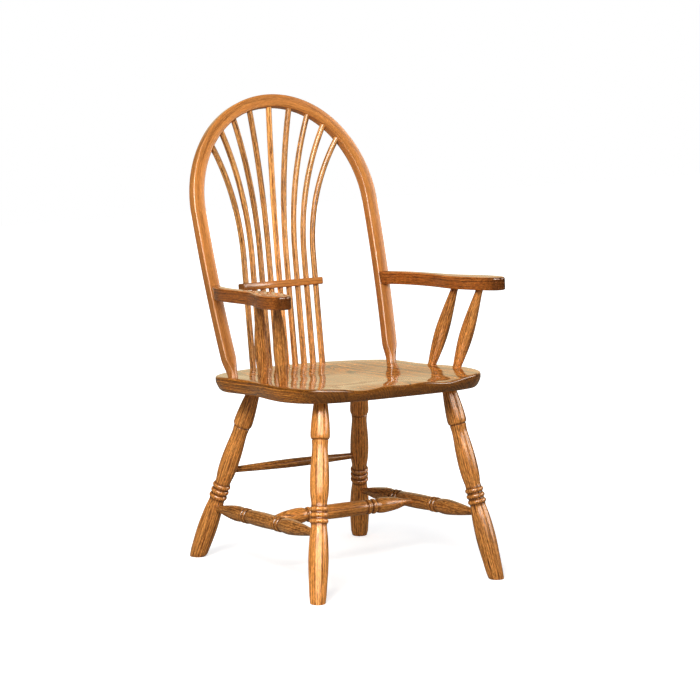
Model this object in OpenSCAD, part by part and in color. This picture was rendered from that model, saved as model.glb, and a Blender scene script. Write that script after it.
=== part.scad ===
// Sheaf back armchair in oak. A bent bow back with nine sprung spindles held by a small tie,
// arms on two turned posts each, a saddled plank seat and four raked turned legs with stretchers.
// Units are millimetres. The floor is z = 0, the sitter faces -Y and the sitter's left is +X.

/* [Seat] */
// Height of the seat rim above the floor, level with the middle of the side cut-ins
seat_height = 462; // [420:1:500]
// Width of the seat across its sides, which the front corners pass by a fiftieth
seat_width = 503; // [470:1:605]
// Length of the seat from its front edge to the tail behind the spindles
seat_depth = 571; // [520:1:690]
// Thickness of the seat plank at its rim
seat_thickness = 33; // [30:1:44]
// Backward slope of the seat in degrees
seat_slope = 4.2; // [1:0.1:7]
// Depth of the saddle hollow under the sitter
saddle_depth = 12; // [5:0.5:14]
// Drop of the front edge where the thighs rest
thigh_drop = 9; // [3:0.5:12]
// Rise of the seat's two sides above its front corners and its tail
side_rise = 3; // [0:0.5:4]
// How far the lower edge of the seat is set in under the rim
seat_undercut = 13; // [5:0.5:15]

/* [Back bow] */
// Length of the bow from the seat to its crown, measured along its rake
bow_height = 663; // [580:1:760]
// Height along the rake where the straight sides turn into the arch
arch_start = 395; // [340:1:450]
// Backward rake of the bow from square to the seat, in degrees
bow_rake = 14.5; // [9:0.1:18]
// Width of the bow seen from the front
bow_face = 30; // [26:0.5:34]
// Thickness of the bow from front to back
bow_thickness = 24; // [21:0.5:29]
// Radius of the eased edges of the bow
bow_ease = 3.5; // [2:0.5:5]
// How far each side of the bow draws in from the arch down to the seat
bow_draw = 18; // [8:1:30]
// Diameter of the round ends of the bow
bow_foot_diameter = 23; // [19:0.5:24]

/* [Spindles] */
// Spacing of the spindles where they stand parallel
spindle_pitch = 23.8; // [20:0.1:28.6]
// Diameter of a spindle at the seat
spindle_foot_diameter = 14.8; // [12:0.2:15.2]
// Diameter of a spindle above the tie
spindle_diameter = 13.8; // [10:0.2:14]
// Backward lean of the spindles from square to the seat, in degrees
spindle_lean = 4.8; // [3:0.1:7]
// Height of the tie above the seat
tie_height = 195.5; // [160:0.5:235]
// Height above the seat where the spindles begin to spring outward
spring_height = 262; // [255:1:300]
// Thickness of the tie
tie_thickness = 17; // [13:0.5:22]
// Width of the tie from front to back
tie_width = 23; // [20:0.5:30]

/* [Arms] */
// Clearance between the seat rim and the underside of the arm
arm_height = 184; // [160:1:215]
// Thickness of the arm
arm_thickness = 30; // [25:0.5:34]
// Greatest diameter of an arm post
post_diameter = 32.5; // [25:0.5:37]
// Diameter of an arm post where it enters the arm
post_end_diameter = 17; // [14:0.5:18]
// Diameter of an arm post where it enters the seat
post_foot_diameter = 20; // [15:0.5:21]

/* [Legs] */
// Greatest diameter of the lower swell of a leg
leg_diameter = 46; // [41:0.5:55.5]
// Sideways splay of the front legs in degrees
front_splay = 8.9; // [5:0.1:12]
// Forward rake of the front legs in degrees
front_rake = 12.8; // [6:0.1:15]
// Sideways splay of the rear legs in degrees
rear_splay = 11.3; // [6:0.1:14]
// Backward rake of the rear legs in degrees
rear_rake = 17.5; // [10:0.1:20]
// Height of the three rings of a front leg, measured along the leg
ring_height = 198; // [175:1:215]
// How much shorter the rear legs are cut below their rings
rear_trim = 24; // [5:1:35]

/* [Stretchers] */
// Height of the side stretchers at the front legs
side_front_height = 150; // [130:1:160]
// Height of the side stretchers at the rear legs
side_rear_height = 121; // [105:1:130]
// Height of the plain rear stretcher
rear_height = 213; // [195:1:240]
// Greatest diameter of the side and centre stretchers
stretcher_diameter = 36; // [31:0.5:39]
// Diameter of the stretcher ends
stretcher_end = 15.5; // [13:0.5:17]
// Greatest diameter of the rear stretcher
rear_stretcher_diameter = 21.5; // [17:0.5:24]

/* [Joints] */
// Clearance between a round end and the wall of its socket
fit_gap = 0.15; // [0.1:0.05:0.3]
// Clearance left at the bottom of a socket
end_gap = 0.4; // [0.2:0.1:0.8]
// Depth of the sockets for the legs
leg_socket = 20; // [16:1:21]
// Depth of the sockets for the spindles and arm posts
pin_socket = 15; // [12:1:17]
// Depth of the sockets for the bow
bow_socket = 23; // [18:1:24]
// Diameter of the arm screws
screw_diameter = 4.5; // [4:0.5:5]
// Diameter of the plugs over the arm screws
plug_diameter = 9.5; // [8:0.5:11]

/* [Hidden] */
$fn = 72;
face_gap = 0.1;
oak = [0.80, 0.55, 0.30];
oak_dark = [0.72, 0.46, 0.23];
steel = [0.62, 0.63, 0.65];

half_width = seat_width / 2;
front_edge = -0.403 * seat_depth;
tail_edge = seat_depth + front_edge;

// Straight measures across and along the seat, in its own sloping plane
front_leg_at = [0.682 * half_width, 0.576 * front_edge];
rear_leg_at = [0.569 * half_width, 0.618 * tail_edge];
bow_at = [0.859 * half_width, 0.531 * tail_edge];
post_rear_at = [0.903 * half_width, 0.067 * tail_edge];
post_front_at = [0.926 * half_width, 0.324 * front_edge];
post_rear_top = [1.049 * half_width, 0.143 * front_edge];
post_front_top = [1.078 * half_width, 0.545 * front_edge];
row_centre = 0.89 * tail_edge;
row_radius = 800;

// Placing of the seat plane over the floor
front_reach = (seat_height - seat_thickness) * tan(front_rake) - front_leg_at[1] * cos(seat_slope);
bow_reach = bow_at[1] * cos(seat_slope) + bow_height * sin(bow_rake + seat_slope)
  + bow_thickness / 2 * cos(bow_rake + seat_slope);
seat_y = (front_reach + leg_diameter * 0.45 - bow_reach) / 2;

function seat_point(x, s, h) = [x,
  seat_y + s * cos(seat_slope) + h * sin(seat_slope),
  seat_height - s * sin(seat_slope) + h * cos(seat_slope)];

module on_seat() {
  translate([0, seat_y, seat_height]) rotate([-seat_slope, 0, 0]) children();
}

module from_to(p, q) {
  d = q - p;
  translate(p) rotate([0, acos(d[2] / norm(d)), atan2(d[1], d[0])]) children();
}

module both_sides() {
  children();
  mirror([1, 0, 0]) children();
}

// Smooth curve through a list of points
function bend(a, b, c, d, t) = 0.5 * (2 * b + (c - a) * t + (2 * a - 5 * b + 4 * c - d) * t * t
  + (3 * b - a - 3 * c + d) * t * t * t);
function curve(p, n) = [for (i = [0 : len(p) - 2]) for (k = [0 : n - 1])
  bend(p[max(i - 1, 0)], p[i], p[i + 1], p[min(i + 2, len(p) - 1)], k / n)];
function curve_to_end(p, n) = concat(curve(p, n), [p[len(p) - 1]]);

// A ring of points drawn in along its own normals
function turn_left(v) = [-v[1], v[0]] / norm(v);
function drawn_in(p, d) = [for (i = [0 : len(p) - 1])
  p[i] + d * turn_left(p[(i + 1) % len(p)] - p[(i + len(p) - 1) % len(p)])];

// Section with half sizes a across and b deep and corners of radius c
function eased_section(a, b, c) = [for (q = [[1, 1, 0], [-1, 1, 90], [-1, -1, 180], [1, -1, 270]])
  for (t = [0 : 18 : 90]) [q[0] * (a - c) + c * cos(q[2] + t), q[1] * (b - c) + c * sin(q[2] + t)]];

// Triangles that fill a flat ring of n points, step by step from its first and last points
function flat_end(n) = [for (i = [0 : ceil(n / 2) - 2])
  for (t = [[i, i + 1, n - 1 - i], [i + 1, n - 2 - i, n - 1 - i]])
  if (t[0] != t[1]) t];

// Closed shell over a list of equal rings, the first one lowest, with flat ends
module shell(rings) {
  n = len(rings[0]);
  m = len(rings);
  points = [for (r = rings) for (p = r) p];
  sides = [for (j = [0 : m - 2]) for (i = [0 : n - 1]) for (k = [0, 1])
    let (a = j * n + i, b = j * n + (i + 1) % n)
    k == 0 ? [a, a + n, b] : [b, a + n, b + n]];
  low_end = flat_end(n);
  high_end = [for (t = flat_end(n)) [for (i = [2, 1, 0]) (m - 1) * n + t[i]]];
  polyhedron(points, concat(low_end, sides, high_end));
}

// Seat outline, front centre to tail centre on the left side
outline_half = [[0, 1.0], [0.32, 0.996], [0.60, 0.965], [0.828, 0.872], [0.966, 0.685],
  [1.020, 0.42], [1.006, 0.14], [0.964, -0.10], [0.938, -0.25], [0.944, -0.43], [0.948, -0.60],
  [0.885, -0.745], [0.745, -0.865], [0.535, -0.945], [0.28, -0.988], [0, -1.0]];
function outline_point(q) = [q[0] * half_width, q[1] > 0 ? q[1] * front_edge : -q[1] * tail_edge];
outline_left = [for (q = outline_half) outline_point(q)];
outline_right = [for (i = [len(outline_left) - 2 : -1 : 1]) [-outline_left[i][0], outline_left[i][1]]];
outline_loop = concat(outline_left, outline_right);
function closed_curve(p, n) = [for (i = [0 : len(p) - 1]) for (k = [0 : n - 1])
  bend(p[(i + len(p) - 1) % len(p)], p[i], p[(i + 1) % len(p)], p[(i + 2) % len(p)], k / n)];
seat_outline = closed_curve(outline_loop, 4);
seat_middle = [0, 0.09 * seat_depth];

// Height of the saddled top. t is 0 at the middle of the seat and 1 at the rim
function ease(t) = t <= 0 ? 0 : t >= 1 ? 1 : t * t * (3 - 2 * t);
function hollow(t) = ease((0.9 - t) / 0.62);
function thigh(x) = exp(-pow((abs(x) / half_width - 0.44) / 0.20, 2))
  + 0.66 * exp(-pow(x / half_width / 0.17, 2));
function front_part(s) = ease((s / front_edge - 0.15) / 0.95);
function ridge(x, s) = 3.5 * exp(-pow(x / half_width / 0.14, 2)) * ease((s / front_edge + 0.05) / 0.7);
function side_part(x, s) = ease((abs(x) / half_width - 0.6) / 0.35)
  * ease(1.5 - 3 * abs(s - seat_middle[1]) / seat_depth);
function top_height(x, s, t) = -saddle_depth * hollow(t) - thigh_drop * thigh(x) * front_part(s)
  + ridge(x, s) * hollow(t * 0.8) + side_rise * side_part(x, s);
function seat_ring(t, inset, h, on_top) = [for (p = seat_outline)
  let (v = p - seat_middle, r = norm(v), q = seat_middle + v * (t * (r - inset) / r))
  [q[0], q[1], h + (on_top ? top_height(q[0], q[1], t)
    : top_height(p[0], p[1], 1) * (1 + h / seat_thickness))]];

module seat_plank() {
  top = [for (t = [0.12 : 0.11 : 0.9]) seat_ring(t, 3.5, 0, true)];
  edge = [seat_ring(0.95, 3.5, 0, true), seat_ring(1, 4.5, 0, true), seat_ring(1, 1.4, -1.2, false),
    seat_ring(1, 0, -4.2, false), seat_ring(1, 0, -11, false),
    seat_ring(1, 0.09 * seat_undercut, -16, false), seat_ring(1, 0.3 * seat_undercut, -22, false),
    seat_ring(1, 0.62 * seat_undercut, 4 - seat_thickness, false),
    seat_ring(1, seat_undercut, -seat_thickness, false)];
  all_rings = concat(top, edge);
  n = len(seat_outline);
  m = len(all_rings);
  hub_top = n * m;
  hub_low = hub_top + 1;
  points = concat([for (r = all_rings) for (p = r) p],
    [[seat_middle[0], seat_middle[1], top_height(seat_middle[0], seat_middle[1], 0)],
    [seat_middle[0], seat_middle[1], -seat_thickness]]);
  sides = [for (j = [0 : m - 2]) for (i = [0 : n - 1]) for (k = [0, 1])
    let (a = j * n + i, b = j * n + (i + 1) % n)
    k == 0 ? [a, b, a + n] : [b, b + n, a + n]];
  lid = [for (i = [0 : n - 1]) [hub_top, (i + 1) % n, i]];
  base = [for (i = [0 : n - 1]) [hub_low, (m - 1) * n + i, (m - 1) * n + (i + 1) % n]];
  polyhedron(points, concat(sides, lid, base));
}

// Legs. Each is a line from its foot on the floor to its place under the seat
front_leg_top = seat_point(front_leg_at[0], front_leg_at[1], -seat_thickness);
rear_leg_top = seat_point(rear_leg_at[0], rear_leg_at[1], -seat_thickness);
front_leg_foot = front_leg_top + front_leg_top[2] * [tan(front_splay), -tan(front_rake), -1];
rear_leg_foot = rear_leg_top + rear_leg_top[2] * [tan(rear_splay), tan(rear_rake), -1];
leg_neck = 14.4 / 44 * leg_diameter;
ring_pitch = 13;
// Turn of a leg about its own axis, which keeps the start line of its turning off every cut
leg_seam = 40;

function on_leg(foot, top, z) = foot + (top - foot) * z / top[2];

module turned(points) {
  rotate_extrude() polygon(concat([[0, points[0][1]]], points, [[0, points[len(points) - 1][1]]]));
}

// Radii of a turned profile times k, and its heights above z drawn together by u
function sized(p, k, z, u) = [for (q = p) [q[0] * k, q[1] > z ? z + (q[1] - z) * u : q[1]]];

// Half-round bead of a turned profile, of radius r about [x, z], from angle -a to a
function bead(x, z, r, a) = [for (t = [-a : a / 5 : a]) [x + r * cos(t), z + r * sin(t)]];

// Turned leg along +Z with its three rings at height zero. Its upper shape fits below the seat
module leg_turning(below, above) {
  k = leg_diameter / 44;
  ring_end = 24;
  neck_start = 250;
  neck_left = 7;
  u = min(1, (above - neck_left - ring_end) / (neck_start - ring_end));
  lower = curve_to_end(sized([[16.8, -below - 30], [17.3, -198], [20, -146], [22, -98], [20.4, -54],
    [17.7, -29], [17.2, -ring_end]], k, ring_end, 1), 5);
  middle = curve_to_end(sized([[17.2, ring_end], [17.7, 29], [20, 46], [21, 72], [20, 104], [17.8, 132],
    [17.1, 146], [17.9, 157], [18.2, 160.6]], k, ring_end, u), 5);
  swell = curve_to_end(sized([[19.6, 164.4], [20.9, 168], [21.2, 176], [20.2, 196], [17.8, 220],
    [15.2, 242], [14.4, neck_start]], k, ring_end, u), 5);
  rings = [for (i = [-1 : 1]) for (p = bead(14.5, i * ring_pitch, 6, 60)) p * k];
  turned(concat([for (p = lower) if (p[1] > -below - 29) p], rings, middle,
    sized([[16.9, 162.2]], k, ring_end, u), swell, [[leg_neck, above + leg_socket - end_gap]]));
}

module leg(foot, top, below) {
  difference() {
    from_to(foot, top) translate([0, 0, below]) rotate([0, 0, leg_seam])
      leg_turning(below, norm(top - foot) - below);
    translate([-600, -600, -200]) cube([1200, 1200, 200]);
    for (line = stretcher_lines) socket(line[0], line[1], line[2] / 2 + fit_gap);
  }
}

// Stretchers. Each line runs between two points on the axes it joins
stop_short = 3;
side_front = on_leg(front_leg_foot, front_leg_top, side_front_height);
side_rear = on_leg(rear_leg_foot, rear_leg_top, side_rear_height);
rear_end = on_leg(rear_leg_foot, rear_leg_top, rear_height);
ring_rear_share = 0.325;
ring_front_share = 0.640;
side_middle = side_rear + (side_front - side_rear) * (ring_rear_share + ring_front_share) / 2;
rear_stretcher_end = 14.5;
stretcher_lines = [
  [side_rear, side_front, stretcher_end], [side_front, side_rear, stretcher_end],
  [rear_end, [-rear_end[0], rear_end[1], rear_end[2]], rear_stretcher_end]];

// Blind socket that starts just off the axis at p and opens toward q
module socket(p, q, r) {
  from_to(p, q) translate([0, 0, stop_short - end_gap]) cylinder(r = r, h = 45);
}

// Two beads of a stretcher, with a scored line on each side
bead_round = 6;
bead_offset = 7;
score_offset = 15;
function bead_pair(at, r) = concat([[0.8 * r, at - score_offset]],
  bead(r - bead_round, at - bead_offset, bead_round, 60),
  bead(r - bead_round, at + bead_offset, bead_round, 60), [[0.8 * r, at + score_offset]]);

module stretcher(p, q, ring_a, ring_b) {
  w = norm(q - p);
  a = ring_a * w;
  b = ring_b * w;
  c = w - b;
  e = stretcher_end / 2;
  r = stretcher_diameter / 2;
  from_to(p, q)
    turned(concat(
      [[e, stop_short]],
      curve_to_end([[e, 24], [e + 1, 36], [0.78 * r, 0.44 * a], [r, 0.69 * a], [0.98 * r, 0.82 * a],
        [0.86 * r, a - 17]], 5),
      bead_pair(a, r),
      curve_to_end([[0.86 * r, a + 17], [0.93 * r, a + 27], [0.98 * r, (a + b) / 2], [0.93 * r, b - 27],
        [0.86 * r, b - 17]], 5),
      bead_pair(b, r),
      curve_to_end([[0.86 * r, b + 17], [0.98 * r, w - 0.82 * c], [r, w - 0.69 * c],
        [0.78 * r, w - 0.44 * c], [e + 1, w - 36], [e, w - 24]], 5),
      [[e, w - stop_short]]));
}

// Bow. Its own frame has x across, z up along the rake and y to the rear
bow_half = bow_at[0] + bow_draw;
arch_rise = bow_height - bow_face / 2 - arch_start;
arch_turn = 39.6;
haunch_shift = (arch_rise - bow_half) / (1 + tan(arch_turn) - 1 / cos(arch_turn));
haunch_radius = bow_half + haunch_shift;
crown_drop = haunch_shift * tan(arch_turn);
crown_radius = arch_rise - crown_drop;
stile_radius = (arch_start * arch_start + bow_draw * bow_draw) / (2 * bow_draw);
stile_turn = asin(arch_start / stile_radius);

module on_bow() {
  on_seat() translate([0, bow_at[1], 0]) rotate([-bow_rake, 0, 0]) children();
}

// Point of the arch, angle a from the crown, set in toward the middle by d
function arch_point(a, d) = a <= 90 - arch_turn
  ? [(crown_radius - d) * sin(a), arch_start + crown_drop + (crown_radius - d) * cos(a)]
  : [(haunch_radius - d) * sin(a) - haunch_shift, arch_start + (haunch_radius - d) * cos(a)];

function mix(a, b, t) = a + (b - a) * t;
function bow_shape(t) = let (r = bow_foot_diameter / 2)
  eased_section(mix(r, bow_face / 2, t), mix(r, bow_thickness / 2, t), mix(r - 0.2, bow_ease, t));

// One station of the bow: its point, the angle of its outward side, and the section there
function station(x, z, turn, shape) = [for (q = shape) [x + q[0] * cos(turn), q[1], z + q[0] * sin(turn)]];
function foot_station(l) = station(bow_at[0] + l * sin(stile_turn), l * cos(stile_turn), -stile_turn,
  bow_shape(0));
function stile_station(l) = let (turn = l / stile_radius * 180 / PI - stile_turn)
  station(bow_half - stile_radius * (1 - cos(turn)), arch_start + stile_radius * sin(turn), turn,
    bow_shape(ease((l - 4) / 46)));
function haunch_station(turn) = station(haunch_radius * cos(turn) - haunch_shift,
  arch_start + haunch_radius * sin(turn), turn, bow_shape(1));
function crown_station(turn) = station(crown_radius * cos(turn),
  arch_start + crown_drop + crown_radius * sin(turn), turn, bow_shape(1));
stile_length = stile_radius * stile_turn * PI / 180;
crown_step = (90 - arch_turn) / 11;
half_stations = concat([foot_station(end_gap - bow_socket)],
  [for (l = [0 : 8 : 64]) stile_station(l)],
  [for (k = [1 : 7]) stile_station(64 + (stile_length - 64) * k / 8)],
  [for (k = [0 : 8]) haunch_station(arch_turn * k / 9)],
  [for (k = [0 : 10]) crown_station(arch_turn + crown_step * k)]);
last = len(half_stations) - 1;

module bow_solid() {
  shell(concat(half_stations, [crown_station(90)],
    [for (j = [last : -1 : 0]) [for (q = half_stations[j]) [-q[0], q[1], q[2]]]]));
}

module at_bow_foot() {
  translate([bow_at[0], 0, 0]) rotate([0, stile_turn, 0]) children();
}

// Spindles. i runs from -4 on the right to 4 on the left
fan_step = 15.4;
fan_ease = 0.48;
tip_start = 3;
tip_socket = 13;

// Small steps where the straight foot, the bend and the tip of a spindle run into each other
lap_turn = 0.1;
lap_step = 0.05;

function row_back(x) = row_radius - sqrt(row_radius * row_radius - x * x);
function bow_to_seat(x, v) = [x, bow_at[1] + v * sin(bow_rake), v * cos(bow_rake)];
function spindle_foot(i) = [i * spindle_pitch, row_centre - row_back(i * spindle_pitch), 0];
up_spindle = [0, sin(spindle_lean), cos(spindle_lean)];
function spring_point(i) = spindle_foot(i) + up_spindle * spring_height / up_spindle[2];
function fan_angle(i) = abs(i) * (fan_step - fan_ease * abs(i));
function tip_point(i) = let (q = arch_point(fan_angle(i), bow_face / 2 + tip_start))
  bow_to_seat(i < 0 ? -q[0] : q[0], q[1]);
function spring_along(i) = (tip_point(i) - spring_point(i)) * up_spindle;
function spring_side(i) = (tip_point(i) - spring_point(i)) - up_spindle * spring_along(i);
function spring_radius(i) = (pow(norm(spring_side(i)), 2) + pow(spring_along(i), 2))
  / (2 * norm(spring_side(i)));
function spring_turn(i) = 2 * atan2(norm(spring_side(i)), spring_along(i));

// Frame at the start of the bend: z along the spindle, x toward the bend
module at_spring(i) {
  e = spring_side(i) / norm(spring_side(i));
  f = cross(up_spindle, e);
  p = spring_point(i);
  multmatrix([[e[0], f[0], up_spindle[0], p[0]], [e[1], f[1], up_spindle[1], p[1]],
    [e[2], f[2], up_spindle[2], p[2]], [0, 0, 0, 1]]) children();
}

module at_tip(i) {
  at_spring(i) translate([spring_radius(i), 0, 0]) rotate([0, spring_turn(i), 0])
    translate([-spring_radius(i), 0, 0]) children();
}

module at_spindle_foot(i) {
  translate(spindle_foot(i)) rotate([-spindle_lean, 0, 0]) children();
}

module spindle(i) {
  r = spindle_diameter / 2;
  lower = tie_height / cos(spindle_lean) - tie_thickness;
  upper = spring_height / cos(spindle_lean);
  on_seat() {
    at_spindle_foot(i) turned([[spindle_foot_diameter / 2, end_gap - pin_socket],
      [spindle_foot_diameter / 2, 12], [r, lower], [r, upper]]);
    at_spring(i) translate([spring_radius(i), 0, 0]) rotate([90, 0, 180]) rotate([0, 0, -lap_turn])
      rotate_extrude(angle = spring_turn(i) + lap_turn, $fn = 144) translate([spring_radius(i), 0])
        circle(r = r - lap_step);
    at_tip(i) translate([0, 0, -1])
      cylinder(r = r - 2 * lap_step, h = 1 + tip_start + tip_socket - end_gap);
  }
}

// Tie, bent to the row of spindles, with eased edges and clipped corners
tie_reach = 4 * spindle_pitch + 15.5;
tie_turn = asin(tie_reach / row_radius);
tie_ease = 3;
tie_clip = 3.5;

module at_tie() {
  translate([0, row_centre, 0]) rotate([-spindle_lean, 0, 0])
    translate([0, 0, tie_height / cos(spindle_lean)]) children();
}

module tie_solid() {
  translate([0, -row_radius, 0]) difference() {
    rotate([0, 0, 90 - tie_turn]) rotate_extrude(angle = 2 * tie_turn, $fn = 288)
      translate([row_radius, 0]) polygon(eased_section(tie_width / 2, tie_thickness / 2, tie_ease));
    for (side = [-1, 1]) for (up = [-1, 1])
      rotate([0, 0, side * tie_turn]) translate([0, row_radius, up * tie_thickness / 2]) rotate([0, 45, 0])
        cube([tie_clip, 2 * tie_width, tie_clip], center = true);
  }
}

// Arms. Outline seen from above on the left side, from the bow forward and back again
bow_front = bow_at[1] + arm_height * tan(bow_rake);
function arm_out(x, s) = [x * half_width, s > 0 ? s * bow_front : -s * front_edge];
arm_outer = [[0.951, 0.951], [0.984, 0.875], [1.030, 0.76], [1.066, 0.60], [1.084, 0.38],
  [1.093, 0.14], [1.108, -0.05], [1.150, -0.22], [1.204, -0.38], [1.237, -0.54], [1.240, -0.68],
  [1.206, -0.80], [1.142, -0.845]];
arm_inner = [[1.075, -0.81], [1.024, -0.70], [0.982, -0.53], [0.955, -0.36], [0.947, -0.20], [0.957, -0.05],
  [0.974, 0.12], [0.978, 0.34], [0.968, 0.54], [0.940, 0.71], [0.898, 0.85], [0.862, 0.951]];
arm_outline = [for (p = curve_to_end(concat(arm_outer, arm_inner), 4)) arm_out(p[0], p[1])];
arm_loop = [for (i = [len(arm_outline) - 1 : -1 : 0]) arm_outline[i]];

// The rear end of the arm follows the raked front face of the bow
function bow_face_at(h) = bow_at[1] + h * tan(bow_rake) - (bow_thickness / 2 + face_gap) / cos(bow_rake);
function arm_ring(inset, h) = let (p = drawn_in(arm_loop, inset), n = len(p)) [for (i = [0 : n - 1])
  let (lean = (h - arm_height) * tan(bow_rake) * ease(p[i][1] / bow_front * 3 - 1.8))
  [i == 0 ? arm_loop[i][0] + inset : i == n - 1 ? arm_loop[i][0] - inset : p[i][0],
    i == 0 || i == n - 1 ? bow_face_at(h) : p[i][1] + lean, h]];

module arm_blank() {
  top = arm_height + arm_thickness;
  shell([arm_ring(3.2, arm_height), arm_ring(1, arm_height + 0.9), arm_ring(0, arm_height + 3.2),
    arm_ring(0, top - 4.5), arm_ring(0.8, top - 2.2), arm_ring(2.4, top - 0.7), arm_ring(4.8, top)]);
}

arm_level = (arm_height + arm_thickness / 2) / cos(bow_rake)
  - bow_thickness / 2 * tan(bow_rake);
function stile_x(v) = bow_half - stile_radius + sqrt(stile_radius * stile_radius - pow(arch_start - v, 2));

// Frame on the rear face of the bow at arm height, z pointing forward through the bow
module at_arm_screw() {
  on_bow() translate([stile_x(arm_level), bow_thickness / 2, arm_level]) rotate([90, 0, 0]) children();
}

head_height = 3;
plug_height = 4;
screw_length = bow_thickness - head_height - plug_height + 20;

module arm() {
  difference() {
    on_seat() arm_blank();
    post_holes(true);
    at_arm_screw() translate([0, 0, head_height + plug_height])
      cylinder(d = screw_diameter + 2 * fit_gap, h = screw_length + end_gap);
  }
}

// Arm posts, each a line from the seat to the arm
function post_line(low, high) = [seat_point(low[0], low[1], 0), seat_point(high[0], high[1], arm_height)];
post_rear = post_line(post_rear_at, post_rear_top);
post_front = post_line(post_front_at, post_front_top);

// Holes for both posts, up into the arm or down into the seat
module post_holes(in_arm) {
  for (line = [post_rear, post_front]) {
    w = norm(line[1] - line[0]);
    from_to(line[0], line[1]) translate([0, 0, in_arm ? w - 20 : -pin_socket])
      cylinder(d = (in_arm ? post_end_diameter : post_foot_diameter) + 2 * fit_gap, h = pin_socket + 20);
  }
}

module post(line) {
  w = norm(line[1] - line[0]);
  r = post_diameter / 2;
  e = post_end_diameter / 2;
  f = post_foot_diameter / 2;
  from_to(line[0], line[1])
    turned(concat([[f, end_gap - pin_socket]],
      curve_to_end([[f, 6], [f + 0.4, 11], [0.76 * r, 0.14 * w], [0.93 * r, 0.29 * w], [r, 0.44 * w],
        [0.92 * r, 0.6 * w], [0.74 * r, 0.78 * w], [e + 0.6, 0.93 * w], [e, w - 4]], 5),
      [[e, w + pin_socket - end_gap]]));
}

module screw() {
  translate([0, 0, plug_height]) cylinder(d = plug_diameter - 1, h = head_height);
  translate([0, 0, plug_height + head_height]) cylinder(d = screw_diameter, h = screw_length);
}

module plug() {
  cylinder(d = plug_diameter, h = plug_height);
}

// The pieces
module seat() {
  color(oak) difference() {
    on_seat() seat_plank();
    both_sides() {
      for (line = [[front_leg_foot, front_leg_top], [rear_leg_foot, rear_leg_top]])
        from_to(line[0], line[1])
          cylinder(r = leg_neck + fit_gap, h = norm(line[1] - line[0]) + leg_socket);
      post_holes(false);
      on_bow() at_bow_foot() translate([0, 0, -bow_socket])
        cylinder(d = bow_foot_diameter + 2 * fit_gap, h = 60);
    }
    on_seat() for (i = [-4 : 4])
      at_spindle_foot(i) translate([0, 0, -pin_socket])
        cylinder(d = spindle_foot_diameter + 2 * fit_gap, h = 60);
  }
}

module back_bow() {
  color(oak) difference() {
    on_bow() bow_solid();
    on_seat() for (i = [-4 : 4])
      at_tip(i) translate([0, 0, -20])
        cylinder(d = spindle_diameter + 2 * fit_gap, h = 20 + tip_start + tip_socket);
    both_sides() at_arm_screw() {
      translate([0, 0, -5]) cylinder(d = plug_diameter + 2 * fit_gap, h = 5 + plug_height + head_height);
      cylinder(d = screw_diameter + 2 * fit_gap, h = 60);
    }
  }
}

module spindle_1() { color(oak) spindle(-4); }
module spindle_2() { color(oak) spindle(-3); }
module spindle_3() { color(oak) spindle(-2); }
module spindle_4() { color(oak) spindle(-1); }
module spindle_5() { color(oak) spindle(0); }
module spindle_6() { color(oak) spindle(1); }
module spindle_7() { color(oak) spindle(2); }
module spindle_8() { color(oak) spindle(3); }
module spindle_9() { color(oak) spindle(4); }

module spindle_tie() {
  color(oak_dark) on_seat() difference() {
    at_tie() tie_solid();
    for (i = [-4 : 4])
      at_spindle_foot(i) translate([0, 0, 100]) cylinder(d = spindle_diameter + 2 * fit_gap, h = 200);
  }
}

module arm_left() { color(oak) arm(); }
module arm_right() { color(oak) mirror([1, 0, 0]) arm(); }

module arm_post_front_left() { color(oak) post(post_front); }
module arm_post_front_right() { color(oak) mirror([1, 0, 0]) post(post_front); }
module arm_post_rear_left() { color(oak) post(post_rear); }
module arm_post_rear_right() { color(oak) mirror([1, 0, 0]) post(post_rear); }

module front_leg() { leg(front_leg_foot, front_leg_top, ring_height); }
module rear_leg() { leg(rear_leg_foot, rear_leg_top, ring_height - rear_trim); }
module leg_front_left() { color(oak) front_leg(); }
module leg_front_right() { color(oak) mirror([1, 0, 0]) front_leg(); }
module leg_rear_left() { color(oak) rear_leg(); }
module leg_rear_right() { color(oak) mirror([1, 0, 0]) rear_leg(); }

module side_stretcher() {
  difference() {
    stretcher(side_rear, side_front, ring_rear_share, ring_front_share);
    socket(side_middle, [-side_middle[0], side_middle[1], side_middle[2]], stretcher_end / 2 + fit_gap);
  }
}
module side_stretcher_left() { color(oak) side_stretcher(); }
module side_stretcher_right() { color(oak) mirror([1, 0, 0]) side_stretcher(); }

module centre_stretcher() {
  color(oak) stretcher([-side_middle[0], side_middle[1], side_middle[2]], side_middle, 0.305, 0.695);
}

module rear_stretcher() {
  w = 2 * rear_end[0];
  e = rear_stretcher_end / 2;
  r = rear_stretcher_diameter / 2;
  color(oak) from_to([-rear_end[0], rear_end[1], rear_end[2]], rear_end)
    turned(concat([[e, stop_short]],
      curve_to_end([[e, 20], [e + 0.3, 32], [0.9 * r, 0.3 * w], [r, 0.5 * w], [0.9 * r, 0.7 * w],
        [e + 0.3, w - 32], [e, w - 20]], 5),
      [[e, w - stop_short]]));
}

module arm_screw_left() { color(steel) at_arm_screw() screw(); }
module arm_screw_right() { color(steel) mirror([1, 0, 0]) at_arm_screw() screw(); }
module screw_plug_left() { color(oak_dark) at_arm_screw() plug(); }
module screw_plug_right() { color(oak_dark) mirror([1, 0, 0]) at_arm_screw() plug(); }

seat();
back_bow();
spindle_1();
spindle_2();
spindle_3();
spindle_4();
spindle_5();
spindle_6();
spindle_7();
spindle_8();
spindle_9();
spindle_tie();
arm_left();
arm_right();
arm_post_front_left();
arm_post_front_right();
arm_post_rear_left();
arm_post_rear_right();
leg_front_left();
leg_front_right();
leg_rear_left();
leg_rear_right();
side_stretcher_left();
side_stretcher_right();
centre_stretcher();
rear_stretcher();
arm_screw_left();
arm_screw_right();
screw_plug_left();
screw_plug_right();
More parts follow.
